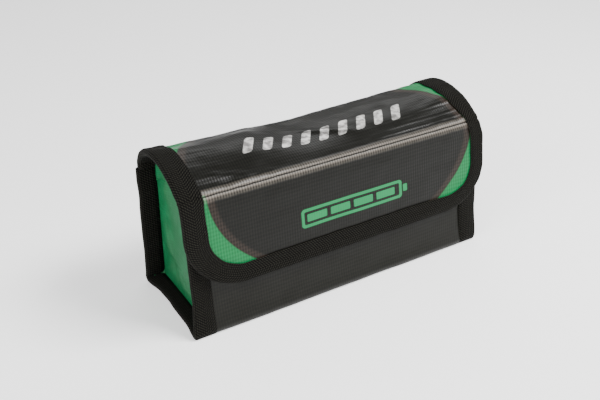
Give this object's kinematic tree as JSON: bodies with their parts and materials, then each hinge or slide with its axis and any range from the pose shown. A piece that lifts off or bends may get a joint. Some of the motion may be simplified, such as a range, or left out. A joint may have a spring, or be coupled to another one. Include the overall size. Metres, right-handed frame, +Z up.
{
  "type": "battery charging case",
  "caption": "Boxy soft case for a battery pack, with recessed end gussets, taped seams and a flap that folds over the top and closes on hook-and-loop.",
  "frame": {"origin": "middle of the footprint, on the surface the case stands on", "axes": "+X along the case to its right end, -Y is the front with the flap, +Z up"},
  "size_m": [0.185, 0.063, 0.0874],
  "materials": {
    "coated_cloth": "coated glass-fibre cloth, glossy",
    "green_cloth": "coated cloth, satin",
    "binding_tape": "woven binding tape, matt",
    "lining_cloth": "glass-fibre cloth, silver grey",
    "stiffener": "stiff sheet",
    "padding": "thin padding",
    "closure_strip": "hook-and-loop"
  },
  "bodies": {
    "body": {"outer_wrap": "coated_cloth", "lining_wrap": "lining_cloth", "front_board": "stiffener", "bottom_board": "stiffener", "back_board": "stiffener", "front_rim_binding": "binding_tape", "loop_strip": "closure_strip", "left_gusset": "green_cloth", "left_gusset_lining": "lining_cloth", "left_end_binding": "binding_tape", "left_gusset_rim_binding": "binding_tape", "right_gusset": "green_cloth", "right_gusset_lining": "lining_cloth", "right_end_binding": "binding_tape", "right_gusset_rim_binding": "binding_tape"},
    "flap_top": {"flap_top_skin": "coated_cloth", "flap_top_padding": "padding", "flap_top_lining": "lining_cloth", "flap_top_left_binding": "binding_tape", "flap_top_right_binding": "binding_tape"},
    "flap_front": {"flap_front_skin": "coated_cloth", "flap_front_padding": "padding", "flap_front_lining": "lining_cloth", "flap_front_binding": "binding_tape", "hook_strip": "closure_strip"}
  },
  "joints": [
    {"name": "flap_hinge", "type": "hinge", "parent": "body", "child": "flap_top", "pos_m": [0, 0.02864, 0.0758], "axis": [-1, 0, 0], "range_deg": [0, 175]},
    {"name": "flap_crease", "type": "hinge", "parent": "flap_top", "child": "flap_front", "pos_m": [0, -0.0234, 0.0775], "axis": [-1, 0, 0], "range_deg": [0, 75]}
  ]
}
